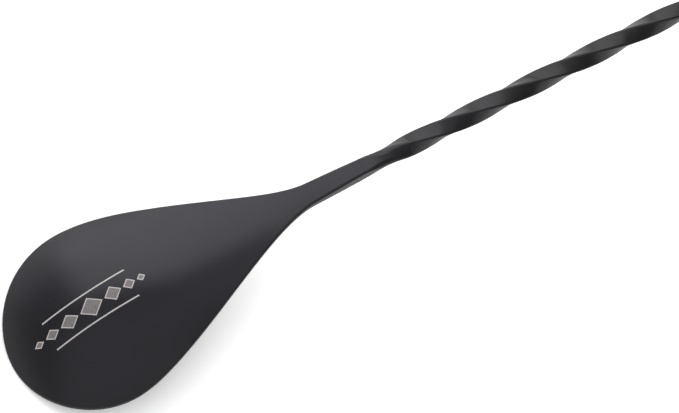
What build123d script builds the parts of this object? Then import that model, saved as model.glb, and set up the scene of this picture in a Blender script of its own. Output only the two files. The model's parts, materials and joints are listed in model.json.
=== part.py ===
"""A 300 mm bar spoon: forged teardrop bowl, twisted square stem, turned teardrop counterweight.

Everything is drawn along the stem. X runs along the stem's axis from the bowl (-X) to the weight (+X), and
x = 0 is where the bowl's shank meets the twisted bar. +Z is the convex back of the bowl. At the end all the
pieces are laid down together, back upwards, so that the bowl's tip and the weight's belly rest on z = 0.
"""

from build123d import *
from math import asin, cos, degrees, hypot, pi, radians, sin, sqrt
import os

# ---- driving dimensions, in millimetres ----
OVERALL_LENGTH = 300.0
BOWL_REACH = 55.6  # from the joint with the stem to the bowl's tip
BOWL_WIDTH = 26.5
NOSE_LENGTH = 12.6  # the elliptical front of the bowl, from its widest place to its tip
WALL = 1.2
BAR = 2.5  # the square bar, across its flats
BAR_CORNER = 0.3
SOFT_LENGTH = 8.0  # next to the joint, the bar's corners soften and sharpen again over this length
SOFT_CORNER = 0.9  # to this radius in the middle of it
SOFT_STEPS = 8
TURN = 42.2  # length of bar in one full turn of the twist
TWIST_RUN_IN = 4.0  # the twist starts from nothing at the joint and gathers pace over this length
GUIDE_POINTS_PER_TURN = 24  # the spiral that guides the twist passes through this many points a turn
WEIGHT_LENGTH = 30.0
WEIGHT_DIAMETER = 8.0

# ---- bowl: plan ----
NECK_WIDTH = 3.3
NECK_START = 8.5  # distance from the joint to where the neck reaches NECK_WIDTH and begins to flare
FLANK_SWEEP = 9.0  # how far the flank keeps the direction of the widest place
NECK_SWEEP = 8.4  # how far the flank keeps the direction of the neck
WIDEST = BOWL_REACH - NOSE_LENGTH  # distance from the joint to the widest place

# ---- bowl: section ----
BACK_RADIUS = 16.5  # the back's curvature across the bowl
NOSE_RADIUS = 25.5  # the back's curvature along the bowl, from NOSE_START to the tip
NOSE_START = 33.4
NOSE_EASE = 2.5  # the straight back eases into the nose's curve over about this length
BACK_RISE = 0.3  # the straight part of the back rises this much from the joint to NOSE_START
SHANK_TAPER = 14.0  # the square shank thins to the bowl's wall over this length
SHANK_DROP = 0.7  # and its back sinks this much as it thins
BACK_RIM_ROUND = 0.35
FRONT_RIM_ROUND = 0.25
SURFACE_STEP = 1.3  # spacing of the stations that the curved surfaces pass through
SURFACE_MARGIN = 0.8  # how far those surfaces run past the bowl
SURFACE_TOLERANCE = 0.005
BLANK_HEIGHT = 20.0  # half the height of the blank that the bowl is cut from
MESH_TOLERANCE = 0.01

# ---- brazed joints ----
SOCKET_RADIUS = 0.78
SOCKET_DEPTH = 3.5
WEIGHT_BORE_RADIUS = 1.05
WEIGHT_BORE_DEPTH = 9.0
FILLER = 0.12  # wall of the sleeve of braze filler
FIT_GAP = 0.02  # clearance either side of the filler and between the butted faces
END_GAP = 0.2  # room left at the bottom of a socket
SPIGOT_CHAMFER = 0.15

# ---- counterweight ----
WEIGHT_NECK_RADIUS = 1.85
WEIGHT_NECK_FLARE = 0.02  # slope of the weight's side where it leaves the stem
WEIGHT_LAND = 3.0  # the parallel land at the widest place
WEIGHT_DOME = 6.0
WEIGHT_LIP = 0.2

STEM_LENGTH = OVERALL_LENGTH - BOWL_REACH - WEIGHT_LENGTH
WEIGHT_RADIUS = WEIGHT_DIAMETER / 2


def fullness(x):
    """1 at the joint, where the shank is as thick as the bar, and 0 where it is as thin as the bowl wall."""
    nearness = min(max(1 + x / SHANK_TAPER, 0.0), 1.0)
    return nearness**2 * (3 - 2 * nearness)


def back_height(x, y):
    """Height of the convex back: it sinks along the shank, runs straight, then curves down to the tip."""
    line = BAR / 2 - SHANK_DROP * (1 - fullness(x)) - BACK_RISE * x / NOSE_START
    beyond = -x - NOSE_START
    run = (beyond + hypot(beyond, NOSE_EASE)) / 2
    nose_drop = NOSE_RADIUS - sqrt(NOSE_RADIUS**2 - run**2)
    return line - nose_drop - y**2 / (2 * BACK_RADIUS)


def front_height(x, y):
    """Height of the hollow front."""
    return back_height(x, y) - WALL - (BAR - WALL) * fullness(x)


def curved_sheet(height):
    """A smooth surface through a grid of stations, a little larger than the bowl."""
    length = BOWL_REACH + 2 * SURFACE_MARGIN
    width = BOWL_WIDTH + 4 * SURFACE_MARGIN
    rows = round(length / SURFACE_STEP)
    columns = round(width / (2 * SURFACE_STEP))
    stations = []
    for i in range(rows + 1):
        x = SURFACE_MARGIN - length * i / rows
        across = [width * (j / columns - 0.5) for j in range(columns + 1)]
        stations.append([Vector(x, y, height(x, y)) for y in across])
    return Face.make_surface_from_array_of_points(stations, tol=SURFACE_TOLERANCE, min_deg=3, max_deg=5)


def runs_lengthwise(edge):
    """True for the edges of the rim, false for the short ones across the end of the shank."""
    return edge.bounding_box().size.X > BAR


def twist_angle(x):
    """Turn of the bar about its axis, in degrees, at a distance x from the joint."""
    rate = 360 / TURN
    if x < TWIST_RUN_IN:
        return rate * x**2 / (2 * TWIST_RUN_IN)
    return rate * (x - TWIST_RUN_IN / 2)


def bar_plane(x):
    """The plane of the bar's section at a distance x from the joint, turned with the twist."""
    turned = radians(twist_angle(x))
    return Plane((x, 0, 0), x_dir=(0, cos(turned), sin(turned)), z_dir=(1, 0, 0))


def mesh_points(shape):
    """Points of a fine mesh, whose extent is tighter around a curved face than its bounding box."""
    return shape.tessellate(MESH_TOLERANCE)[0]


# ---- the bowl, its neck and its shank, one forging ----
back_sheet = curved_sheet(back_height)
front_sheet = curved_sheet(front_height)

with BuildPart() as bowl:
    with BuildSketch(Plane.XY.offset(-BLANK_HEIGHT)):
        with BuildLine():
            taper = (NECK_WIDTH - BAR) / 2 / NECK_START
            neck_edge = NECK_WIDTH / 2
            Bezier(
                (-WIDEST, BOWL_WIDTH / 2),
                (-WIDEST + FLANK_SWEEP, BOWL_WIDTH / 2),
                (-NECK_START - NECK_SWEEP, neck_edge + taper * NECK_SWEEP),
                (-NECK_START, neck_edge),
            )
            Line((-NECK_START, neck_edge), (-FIT_GAP, BAR / 2))
            mirror(about=Plane.XZ)
            EllipticalCenterArc((-WIDEST, 0), NOSE_LENGTH, BOWL_WIDTH / 2, 90, arc_size=180)
            Line((-FIT_GAP, BAR / 2), (-FIT_GAP, -BAR / 2))
        make_face()
    extrude(amount=2 * BLANK_HEIGHT)
    extrude(back_sheet, amount=2 * BLANK_HEIGHT, dir=(0, 0, -1), mode=Mode.INTERSECT)
    extrude(front_sheet, amount=2 * BLANK_HEIGHT, dir=(0, 0, -1), mode=Mode.SUBTRACT)
    front_face, back_face = bowl.faces().filter_by(GeomType.BSPLINE).sort_by(Axis.Z)
    back_rim = back_face.edges().filter_by(runs_lengthwise)
    front_rim = front_face.edges().filter_by(runs_lengthwise)
    fillet(back_rim, BACK_RIM_ROUND)
    fillet(front_rim, FRONT_RIM_ROUND)
    with BuildSketch(Plane.YZ.offset(-FIT_GAP)):
        Circle(SOCKET_RADIUS)
    extrude(amount=-SOCKET_DEPTH, mode=Mode.SUBTRACT)

# ---- the twisted square bar, with a turned spigot at each end ----
bowl_spigot_radius = SOCKET_RADIUS - FILLER - 2 * FIT_GAP
weight_spigot_radius = WEIGHT_BORE_RADIUS - FILLER - 2 * FIT_GAP

with BuildLine() as twist_guide:
    sharp_length = STEM_LENGTH - SOFT_LENGTH
    steps = round(GUIDE_POINTS_PER_TURN * sharp_length / TURN)
    guide_stations = [SOFT_LENGTH + sharp_length * i / steps for i in range(steps + 1)]
    guide_angles = [radians(twist_angle(x)) for x in guide_stations]
    Spline([(x, cos(a), sin(a)) for x, a in zip(guide_stations, guide_angles)])

with BuildPart() as twisted_stem:
    with BuildLine() as axis:
        Line((SOFT_LENGTH, 0, 0), (STEM_LENGTH, 0, 0))
    with BuildSketch(bar_plane(SOFT_LENGTH)):
        RectangleRounded(BAR, BAR, BAR_CORNER)
    sweep(path=axis.line, binormal=twist_guide.line.edge())
    for i in range(SOFT_STEPS + 1):
        softness = sin(pi * i / SOFT_STEPS) ** 2
        with BuildSketch(bar_plane(SOFT_LENGTH * i / SOFT_STEPS)):
            RectangleRounded(BAR, BAR, BAR_CORNER + (SOFT_CORNER - BAR_CORNER) * softness)
    loft()
    with BuildSketch(Plane.YZ):
        Circle(bowl_spigot_radius)
    extrude(amount=-(SOCKET_DEPTH - END_GAP))
    with BuildSketch(Plane.YZ.offset(STEM_LENGTH)):
        Circle(weight_spigot_radius)
    extrude(amount=WEIGHT_BORE_DEPTH - END_GAP)
    spigot_ends = twisted_stem.edges().filter_by(GeomType.CIRCLE).sort_by(Axis.X)
    chamfer([spigot_ends[0], spigot_ends[-1]], SPIGOT_CHAMFER)

# ---- the counterweight, turned and bored ----
weight_start = STEM_LENGTH + FIT_GAP
weight_end = weight_start + WEIGHT_LENGTH
dome_start = weight_end - WEIGHT_DOME
land_start = dome_start - WEIGHT_LAND

with BuildPart() as counterweight:
    with BuildSketch(Plane.XZ):
        with BuildLine():
            Line((weight_start, 0), (weight_start, WEIGHT_NECK_RADIUS))
            Spline(
                (weight_start, WEIGHT_NECK_RADIUS),
                (land_start, WEIGHT_RADIUS),
                tangents=[(1, WEIGHT_NECK_FLARE), (1, 0)],
            )
            Line((land_start, WEIGHT_RADIUS), (dome_start, WEIGHT_RADIUS))
            EllipticalCenterArc((dome_start, 0), WEIGHT_DOME, WEIGHT_RADIUS, 0, arc_size=90)
            Line((weight_end, 0), (weight_start, 0))
        make_face()
    revolve(axis=Axis.X)
    lip = counterweight.edges().filter_by(GeomType.CIRCLE).sort_by(Axis.X)[0]
    fillet(lip, WEIGHT_LIP)
    with BuildSketch(Plane.YZ.offset(weight_start)):
        Circle(WEIGHT_BORE_RADIUS)
    extrude(amount=WEIGHT_BORE_DEPTH, mode=Mode.SUBTRACT)

# ---- the sleeves of braze filler in the two sockets ----
with BuildPart() as bowl_joint_braze:
    with BuildSketch(Plane.YZ.offset(-2 * FIT_GAP)):
        Circle(SOCKET_RADIUS - FIT_GAP)
        Circle(SOCKET_RADIUS - FIT_GAP - FILLER, mode=Mode.SUBTRACT)
    extrude(amount=-(SOCKET_DEPTH - 2 * END_GAP))

with BuildPart() as weight_joint_braze:
    with BuildSketch(Plane.YZ.offset(weight_start + FIT_GAP)):
        Circle(WEIGHT_BORE_RADIUS - FIT_GAP)
        Circle(WEIGHT_BORE_RADIUS - FIT_GAP - FILLER, mode=Mode.SUBTRACT)
    extrude(amount=WEIGHT_BORE_DEPTH - 2 * END_GAP)

# ---- lay the spoon down on its tip and its weight ----
tip_depth = -min(point.Z for point in mesh_points(bowl.part))
rest_tilt = degrees(asin((tip_depth - WEIGHT_RADIUS) / (BOWL_REACH + dome_start)))
tilt = Location((0, 0, 0), (0, rest_tilt, 0))
tilted_points = mesh_points(Compound([bowl.part, twisted_stem.part, counterweight.part]).moved(tilt))
reach = [point.X for point in tilted_points]
middle = (min(reach) + max(reach)) / 2
table = min(point.Z for point in tilted_points)
at_rest = Location((-middle, 0, -table)) * tilt
for piece in (bowl, twisted_stem, counterweight, bowl_joint_braze, weight_joint_braze):
    piece.part.location = at_rest

os.makedirs("parts", exist_ok=True)

bowl.part.label = "bowl"
export_step(bowl.part, "parts/bowl.step")

twisted_stem.part.label = "twisted_stem"
export_step(twisted_stem.part, "parts/twisted_stem.step")

counterweight.part.label = "counterweight"
export_step(counterweight.part, "parts/counterweight.step")

bowl_joint_braze.part.label = "bowl_joint_braze"
export_step(bowl_joint_braze.part, "parts/bowl_joint_braze.step")

weight_joint_braze.part.label = "weight_joint_braze"
export_step(weight_joint_braze.part, "parts/weight_joint_braze.step")
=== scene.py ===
import json
from math import cos, pi, radians, sin, tan

import bpy
from mathutils import Matrix, Vector
from mathutils.bvhtree import BVHTree


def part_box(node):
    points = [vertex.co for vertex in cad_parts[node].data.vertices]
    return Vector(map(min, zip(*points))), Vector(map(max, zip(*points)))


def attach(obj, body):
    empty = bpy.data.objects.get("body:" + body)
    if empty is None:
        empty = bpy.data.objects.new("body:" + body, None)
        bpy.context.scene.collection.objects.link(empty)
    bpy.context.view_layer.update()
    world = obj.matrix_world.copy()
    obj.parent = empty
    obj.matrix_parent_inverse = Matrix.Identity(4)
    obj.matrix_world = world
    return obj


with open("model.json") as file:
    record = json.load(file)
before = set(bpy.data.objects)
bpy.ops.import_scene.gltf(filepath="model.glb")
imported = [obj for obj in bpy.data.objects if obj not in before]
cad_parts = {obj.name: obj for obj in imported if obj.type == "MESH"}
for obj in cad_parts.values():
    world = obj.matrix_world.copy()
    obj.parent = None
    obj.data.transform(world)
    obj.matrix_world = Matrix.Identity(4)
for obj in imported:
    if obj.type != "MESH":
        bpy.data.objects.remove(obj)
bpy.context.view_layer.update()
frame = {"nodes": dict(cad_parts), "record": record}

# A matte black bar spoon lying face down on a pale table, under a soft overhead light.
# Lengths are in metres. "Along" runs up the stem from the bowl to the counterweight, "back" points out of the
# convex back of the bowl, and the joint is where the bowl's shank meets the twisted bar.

MM = 0.001

# ---- camera, given from the joint ----
CAMERA_SWING = 20.0  # degrees towards the bowl's tip, from straight above the back
CAMERA_DIP = 17.0  # degrees towards the spoon's right-hand side
CAMERA_ROLL = 26.4  # degrees that the stem climbs across the picture
CAMERA_DISTANCE = 600 * MM
FOCAL_PER_WIDTH = 6.186  # focal length as a share of the sensor's width
AIM_RIGHT = -2.97 * MM  # the middle of the picture, seen from the joint
AIM_UP = -5.29 * MM

# ---- lights ----
# Each softbox is aimed at a place along the spoon from the joint. right and up are the degrees from the
# camera to the softbox, seen from that place. roll is how far its right side is lifted, in degrees, and wide
# and high are the degrees from its middle to its edges.
SOFTBOXES = {
    "key": {
        "aim": -30 * MM, "distance": 450 * MM, "right": -3.5, "up": 69, "roll": 9,
        "wide": 39.5, "high": 35, "radiance": 1.55,
    },
    "wing": {
        "aim": -30 * MM, "distance": 450 * MM, "right": -53, "up": 86, "roll": 0,
        "wide": 9, "high": 20, "radiance": 0.45,
    },
    "fill": {
        "aim": -30 * MM, "distance": 550 * MM, "right": 1, "up": -20, "roll": 5,
        "wide": 48, "high": 34, "radiance": 0.33,
    },
    "strip": {
        "aim": 25 * MM, "distance": 200 * MM, "right": 32, "up": 24, "roll": 0,
        "wide": 12, "high": 20, "radiance": 0.5,
    },
}
ROOM_MIRRORED = 0.1  # brightness of the room where the coating mirrors it
ROOM_LIGHT = 1.1  # and where it lights the floor
ROOM_SEEN = 1.0
FLOOR_PALENESS = 0.92
FLOOR_MIRRORED_NEAR = 0.2  # painted reflection: the paleness that the coating mirrors from the floor on the camera's side
FLOOR_MIRRORED_FAR = 0.8  # and from the floor beyond the spoon
FLOOR_BLEND = 70 * MM  # distance either side of the joint over which one becomes the other
FLOOR_SIDE = 24.0

# ---- coating ----
COOL_END = -5 * MM  # along the spoon from the joint, it is faintly blue up to here
NEUTRAL_START = 35 * MM  # and neutral from here on
EDGE_SHADE_WIDTH = 0.28 * MM  # the darker, duller line of painted shade along the edges
COATING_BRIDGE = 0.4 * MM  # it runs smoothly over the joint, so this far either side there is no painted edge shade

# ---- the etched mark on the back of the bowl ----
MARK_PLACE = -44.3 * MM  # its middle, along the spoon from the joint
MARK_PROUD = 0.02 * MM
MARK_ROOT = 0.05 * MM  # how far its plates reach into the bowl's wall
LOZENGE_LENGTHS = (3.4 * MM, 2.6 * MM, 1.9 * MM, 1.3 * MM)  # the middle one, then outwards
LOZENGE_WIDTH_SHARE = 0.86
LOZENGE_GAP = 0.3 * MM
OUTLINE = 0.17 * MM
RULE_OFFSET = 2.15 * MM  # from the bowl's centre line
RULE_LENGTH = 12.5 * MM
RULE_WIDTH = 0.2 * MM
RULE_STEP = 0.4 * MM  # each rule bends with the bowl's back in steps of this length
PROBE_HEIGHT = 50 * MM  # the back is looked for from this far above it


# ======== places, read from the frame ========
def spoon_axes():
    """The joint's centre, and unit vectors up the stem, to the spoon's left and out of the bowl's back."""
    land = next(m for m in frame["record"]["mounts"] if m["name"] == "weight_land")
    along = Vector(land["axis"]).normalized()
    left = Vector((0, 1, 0))
    back = along.cross(left)
    joint_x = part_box("bowl")[1].x
    land_centre = Vector(land["pos_m"])
    joint = land_centre + along * ((joint_x - land_centre.x) / along.x)
    return joint, along, left, back


JOINT, ALONG, LEFT, BACK = spoon_axes()


# ======== node helpers ========
class Shader:
    """A node material that is built a node at a time."""

    def __init__(self, name):
        self.material = bpy.data.materials.new(name)
        self.material.use_nodes = True
        self.tree = self.material.node_tree
        self.surface = self.tree.nodes["Principled BSDF"]
        self.place = self.add("ShaderNodeTexCoord").outputs["Object"]

    def add(self, kind, **inputs):
        """A node whose inputs are set to numbers, colours or other nodes' outputs."""
        node = self.tree.nodes.new(kind)
        for name, value in inputs.items():
            self.set(node, name.replace("_", " "), value)
        return node

    def set(self, node, name, value):
        """Sets a node's input to a number or a colour, or links it to another node's output."""
        if isinstance(value, bpy.types.NodeSocket):
            self.tree.links.new(value, node.inputs[name])
        else:
            node.inputs[name].default_value = value

    def noise(self, grain, detail=2.0, stretch=(1, 1, 1)):
        """Noise whose spots are about one grain across, in metres, stretched along the row's axes."""
        mapping = self.add("ShaderNodeMapping", Vector=self.place, Scale=[1 / s for s in stretch])
        return self.add(
            "ShaderNodeTexNoise", Vector=mapping.outputs[0], Scale=1 / grain, Detail=detail
        ).outputs[0]

    def spread(self, value, low, high, start=0.3, end=0.7):
        """Value, rescaled so that start to end becomes low to high."""
        node = self.add("ShaderNodeMapRange", Value=value)
        node.inputs["From Min"].default_value = start
        node.inputs["From Max"].default_value = end
        node.inputs["To Min"].default_value = low
        node.inputs["To Max"].default_value = high
        return node.outputs[0]

    def mix(self, factor, first, second):
        """A colour between first and second."""
        node = self.add("ShaderNodeMix")
        node.data_type = "RGBA"
        for name, value in (("Factor", factor), ("A", first), ("B", second)):
            socket = [s for s in node.inputs if s.name == name and s.enabled][0]
            if isinstance(value, bpy.types.NodeSocket):
                self.tree.links.new(value, socket)
            else:
                socket.default_value = value
        return [s for s in node.outputs if s.enabled][0]

    def math(self, operation, *values):
        """The result of an operation on two or three numbers or outputs."""
        node = self.add("ShaderNodeMath")
        node.operation = operation
        for index, value in enumerate(values):
            self.set(node, index, value)
        return node.outputs[0]

    def dot(self, first, second):
        """The dot product of two vectors."""
        node = self.add("ShaderNodeVectorMath")
        node.operation = "DOT_PRODUCT"
        self.set(node, 0, first)
        self.set(node, 1, second)
        return node.outputs["Value"]

    def bump(self, height, depth, below=None):
        """A surface normal for a relief of the given depth, in metres, laid over the normal below."""
        node = self.add("ShaderNodeBump", Height=height, Distance=depth)
        if below:
            self.set(node, "Normal", below)
        return node.outputs[0]

    def edges(self, radius):
        """1 along the edges, where a bevel of the given radius would turn the surface, and 0 elsewhere."""
        bevel = self.add("ShaderNodeBevel", Radius=radius)
        bevel.samples = 6
        unbevelled = self.add("ShaderNodeNewGeometry").outputs["Normal"]
        turned = self.dot(bevel.outputs[0], unbevelled)
        return self.spread(turned, 1, 0, 0.86, 0.99)


# ======== materials ========
def black_coating():
    """Satin black coating: faint mottling, a fine grain, and a duller, darker line of painted shade along the
    edges.
    """
    shader = Shader("black_coating")
    mottle = shader.noise(14 * MM, 4)
    cloud = shader.noise(2.2 * MM, 3, (2.5, 1, 1))
    grain = shader.noise(0.09 * MM)
    peel = shader.noise(0.7 * MM, 3)
    from_joint = shader.math("SUBTRACT", shader.dot(shader.place, ALONG), JOINT.dot(ALONG))
    bridged = shader.math("COMPARE", from_joint, 0, COATING_BRIDGE)
    # Painted shade: the edges are drawn darker and less reflective, in place of the shade seen along them.
    painted_edge_shade = shader.math("MULTIPLY", shader.edges(EDGE_SHADE_WIDTH), shader.spread(cloud, 0.8, 1))
    painted_edge_shade = shader.math("MULTIPLY", painted_edge_shade, shader.math("SUBTRACT", 1, bridged))
    stemward = shader.spread(from_joint, 0, 1, COOL_END, NEUTRAL_START)

    patches = shader.spread(mottle, 0, 1)
    cool = shader.mix(patches, (0.0076, 0.0074, 0.0094, 1), (0.0094, 0.0092, 0.0116, 1))
    neutral = shader.mix(patches, (0.0058, 0.0058, 0.006, 1), (0.0074, 0.0074, 0.0076, 1))
    black = shader.mix(stemward, cool, neutral)
    # Painted shade: near-black colour along the edges.
    shader.set(shader.surface, "Base Color", shader.mix(painted_edge_shade, black, (0.003, 0.003, 0.0033, 1)))
    sheen = shader.mix(stemward, (0.97, 0.965, 1.065, 1), (0.995, 0.995, 1.01, 1))
    shader.set(shader.surface, "Specular Tint", sheen)
    satin = shader.math("ADD", shader.spread(cloud, 0.31, 0.35), shader.spread(grain, -0.02, 0.02))
    duller = shader.math("MULTIPLY", painted_edge_shade, 0.45)
    shader.set(shader.surface, "Roughness", shader.math("ADD", satin, duller))
    shader.set(shader.surface, "Specular IOR Level", shader.spread(painted_edge_shade, 0.5, 0.04, 0, 1))
    shader.set(shader.surface, "IOR", 1.5)
    relief = shader.bump(peel, 0.0006 * MM)
    shader.set(shader.surface, "Normal", shader.bump(grain, 0.0005 * MM, relief))
    return shader.material


def etched_steel(name, dark, light):
    """Bare steel, frosted where the coating has been etched away."""
    shader = Shader(name)
    grain = shader.noise(0.12 * MM, 3)
    tint = shader.noise(2.5 * MM, 2)
    grey = shader.mix(shader.spread(grain, 0, 1), dark, light)
    warm = [value * share for value, share in zip(light, (0.9, 0.78, 0.76, 1))]
    shader.set(shader.surface, "Base Color", shader.mix(shader.spread(tint, 0, 0.5), grey, warm))
    shader.set(shader.surface, "Metallic", 0.35)
    shader.set(shader.surface, "Roughness", shader.spread(grain, 0.5, 0.65))
    shader.set(shader.surface, "Normal", shader.bump(grain, 0.004 * MM))
    return shader.material


def braze_filler():
    """Silver braze: pale, slightly yellow, with frozen ripples."""
    shader = Shader("braze_filler")
    ripple = shader.noise(0.5 * MM, 3, (0.4, 1, 1))
    shader.set(
        shader.surface,
        "Base Color",
        shader.mix(shader.spread(ripple, 0, 1), (0.55, 0.5, 0.38, 1), (0.74, 0.69, 0.55, 1)),
    )
    shader.set(shader.surface, "Metallic", 1.0)
    shader.set(shader.surface, "Roughness", shader.spread(ripple, 0.3, 0.45))
    shader.set(shader.surface, "Normal", shader.bump(ripple, 0.02 * MM))
    return shader.material


def coat_cad_nodes():
    """Gives each CAD piece the finish that the record names for it."""
    finishes = {"black_coating": black_coating(), "braze_filler": braze_filler()}
    for row in frame["record"]["subparts"]:
        mesh = frame["nodes"][row["node"]].data
        mesh.materials.clear()
        mesh.materials.append(finishes[row["material_slot"]])


# ======== the etched mark ========
def surface_finder():
    """A function that takes a place in the bowl's plan, and a height over the back, and gives the point."""
    mesh = frame["nodes"]["bowl"].data
    tree = BVHTree.FromPolygons([v.co for v in mesh.vertices], [p.vertices for p in mesh.polygons])

    def find(along, left, height):
        above = JOINT + ALONG * along + LEFT * left + BACK * PROBE_HEIGHT
        hit, normal = tree.ray_cast(above, -BACK)[:2]
        return hit + normal * height

    return find


def add_plate(points, faces, columns, rows, place, find):
    """A thin closed plate that follows the bowl's back.

    columns and rows are grid lines in the plate's own plan, and place takes a point of it to the bowl's plan.
    """
    start = len(points)
    width = len(rows)
    layer = len(columns) * width
    for height in (MARK_PROUD, -MARK_ROOT):
        points.extend(find(*place(a, b), height) for a in columns for b in rows)

    def corner(i, j, below=0):
        return start + below * layer + i * width + j

    last_column = len(columns) - 1
    last_row = len(rows) - 1
    for i in range(last_column):
        for j in range(last_row):
            rim = i in (0, last_column - 1) or j in (0, last_row - 1)
            top = [corner(i, j), corner(i + 1, j), corner(i + 1, j + 1), corner(i, j + 1)]
            faces.append((top, 0 if rim else 1))
            faces.append(([n + layer for n in reversed(top)], 0))
    border = [(i, 0) for i in range(last_column)]
    border += [(last_column, j) for j in range(last_row)]
    border += [(i, last_row) for i in range(last_column, 0, -1)]
    border += [(0, j) for j in range(last_row, 0, -1)]
    for near, far in zip(border, border[1:] + border[:1]):
        faces.append(([corner(*far), corner(*near), corner(*near, 1), corner(*far, 1)], 0))


def lozenge(middle, length, find, points, faces):
    """A lozenge on the bowl's centre line: a square grid, turned so that its corners lie on the line."""
    rim = OUTLINE * 2 / (length * LOZENGE_WIDTH_SHARE)
    lines = [-1, -1 + rim, -0.5, 0, 0.5, 1 - rim, 1]

    def place(a, b):
        return middle + (a + b) / 4 * length, (b - a) / 4 * length * LOZENGE_WIDTH_SHARE

    add_plate(points, faces, lines, lines, place, find)


def rule(offset, find, points, faces):
    """A thin straight line beside the row of lozenges."""
    steps = round(RULE_LENGTH / RULE_STEP)
    columns = [RULE_LENGTH * (i / steps - 0.5) for i in range(steps + 1)]
    rows = [-RULE_WIDTH / 2, RULE_WIDTH / 2]

    def place(a, b):
        return MARK_PLACE + a, offset + b

    add_plate(points, faces, columns, rows, place, find)


def etched_mark():
    """A row of lozenges that shrink outwards, between two thin rules."""
    find = surface_finder()
    points, faces = [], []
    lozenge(MARK_PLACE, LOZENGE_LENGTHS[0], find, points, faces)
    reach = LOZENGE_LENGTHS[0] / 2
    for length in LOZENGE_LENGTHS[1:]:
        reach += LOZENGE_GAP + length / 2
        for side in (-1, 1):
            lozenge(MARK_PLACE + side * reach, length, find, points, faces)
        reach += length / 2
    for side in (-1, 1):
        rule(side * RULE_OFFSET, find, points, faces)

    mesh = bpy.data.meshes.new("etched_mark")
    mesh.from_pydata(points, [], [corners for corners, _ in faces])
    mesh.materials.append(etched_steel("etched_outline", (0.32, 0.31, 0.305, 1), (0.52, 0.505, 0.495, 1)))
    mesh.materials.append(etched_steel("etched_field", (0.08, 0.077, 0.077, 1), (0.22, 0.21, 0.21, 1)))
    for polygon, (_, finish) in zip(mesh.polygons, faces):
        polygon.material_index = finish
    mark = bpy.data.objects.new("etched_mark", mesh)
    bpy.context.scene.collection.objects.link(mark)
    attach(mark, "root")


# ======== the stage ========
def camera_axes():
    """Unit vectors from the joint to the camera, and to the right and up in the picture."""
    swing, dip, roll = radians(CAMERA_SWING), radians(CAMERA_DIP), radians(CAMERA_ROLL)
    level = ALONG * cos(swing) + (BACK * cos(dip) - LEFT * sin(dip)) * sin(swing)
    rise = LEFT * cos(dip) + BACK * sin(dip)
    towards = level.cross(rise)
    return towards, level * cos(roll) - rise * sin(roll), level * sin(roll) + rise * cos(roll)


def aimed(place, target, up):
    """The placing of a camera or light at place that looks at target, with up upwards."""
    back = (place - target).normalized()
    right = up.cross(back).normalized()
    turn = Matrix((right, back.cross(right), back)).transposed()
    return Matrix.Translation(place) @ turn.to_4x4()


def add_camera():
    """The camera, whose view is centred just below the joint and to its left."""
    towards, right, up = camera_axes()
    data = bpy.data.cameras.new("camera")
    data.sensor_fit = "HORIZONTAL"
    data.lens = data.sensor_width * FOCAL_PER_WIDTH
    data.clip_start = 0.05
    data.clip_end = 50
    camera = bpy.data.objects.new("camera", data)
    bpy.context.scene.collection.objects.link(camera)
    aim = JOINT + right * AIM_RIGHT + up * AIM_UP
    camera.matrix_world = aimed(JOINT + towards * CAMERA_DISTANCE, aim, up)
    bpy.context.scene.camera = camera


def add_softbox(name, aim, distance, right, up, roll, wide, high, radiance):
    """A rectangular area light, hidden from the camera."""
    towards, rightward, upward = camera_axes()
    target = JOINT + ALONG * aim
    level = towards * cos(radians(up)) + upward * sin(radians(up))
    direction = level * cos(radians(right)) + rightward * sin(radians(right))
    data = bpy.data.lights.new(name, "AREA")
    data.shape = "RECTANGLE"
    data.size = 2 * distance * tan(radians(wide))
    data.size_y = 2 * distance * tan(radians(high))
    data.energy = radiance * data.size * data.size_y * pi
    light = bpy.data.objects.new(name, data)
    bpy.context.scene.collection.objects.link(light)
    level_placing = aimed(target + direction * distance, target, upward)
    light.matrix_world = level_placing @ Matrix.Rotation(radians(roll), 4, "Z")
    light.visible_camera = False


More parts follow.
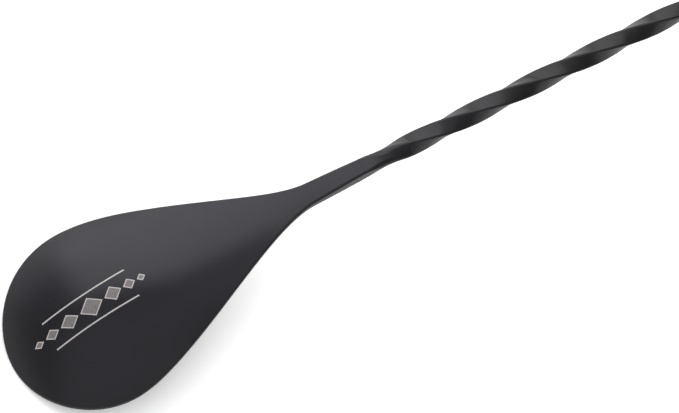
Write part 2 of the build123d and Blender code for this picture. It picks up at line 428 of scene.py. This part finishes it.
def add_room():
    """The room: white to the camera, even light on the floor, and dim where the coating mirrors it."""
    world = bpy.data.worlds.new("room")
    world.use_nodes = True
    tree = world.node_tree
    path = tree.nodes.new("ShaderNodeLightPath")
    strength = ROOM_MIRRORED
    for ray, brightness in (("Is Diffuse Ray", ROOM_LIGHT), ("Is Camera Ray", ROOM_SEEN)):
        choice = tree.nodes.new("ShaderNodeMix")
        tree.links.new(path.outputs[ray], choice.inputs[0])
        if isinstance(strength, bpy.types.NodeSocket):
            tree.links.new(strength, choice.inputs[2])
        else:
            choice.inputs[2].default_value = strength
        choice.inputs[3].default_value = brightness
        strength = choice.outputs[0]
    background = tree.nodes["Background"]
    background.inputs["Color"].default_value = (1, 1, 1, 1)
    tree.links.new(strength, background.inputs["Strength"])
    bpy.context.scene.world = world


def add_floor():
    """A pale table top, whose colour in the coating's reflections is painted darker on its near side and
    paler on its far side.
    """
    half = FLOOR_SIDE / 2
    corners = [(-half, -half, 0), (half, -half, 0), (half, half, 0), (-half, half, 0)]
    mesh = bpy.data.meshes.new("floor")
    mesh.from_pydata(corners, [], [(0, 1, 2, 3)])
    shader = Shader("floor")
    # Painted reflection: only glossy rays see this graded colour; the camera and the room's light see an even
    # paleness.
    mirrored = shader.add("ShaderNodeLightPath").outputs["Is Glossy Ray"]
    upward = camera_axes()[2]
    start = JOINT.dot(upward)
    far = shader.spread(
        shader.dot(shader.place, upward),
        FLOOR_MIRRORED_NEAR,
        FLOOR_MIRRORED_FAR,
        start - FLOOR_BLEND,
        start + FLOOR_BLEND,
    )
    paleness_and_painted_reflection = shader.add("ShaderNodeMix", Factor=mirrored)
    shader.set(paleness_and_painted_reflection, "A", FLOOR_PALENESS)
    shader.set(paleness_and_painted_reflection, "B", far)
    shader.set(shader.surface, "Base Color", paleness_and_painted_reflection.outputs[0])
    shader.set(shader.surface, "Roughness", 0.9)
    mesh.materials.append(shader.material)
    floor = bpy.data.objects.new("floor", mesh)
    bpy.context.scene.collection.objects.link(floor)


coat_cad_nodes()
etched_mark()
add_floor()
add_room()
for name, softbox in SOFTBOXES.items():
    add_softbox(name, **softbox)
add_camera()
bpy.context.scene.view_settings.view_transform = "Standard"
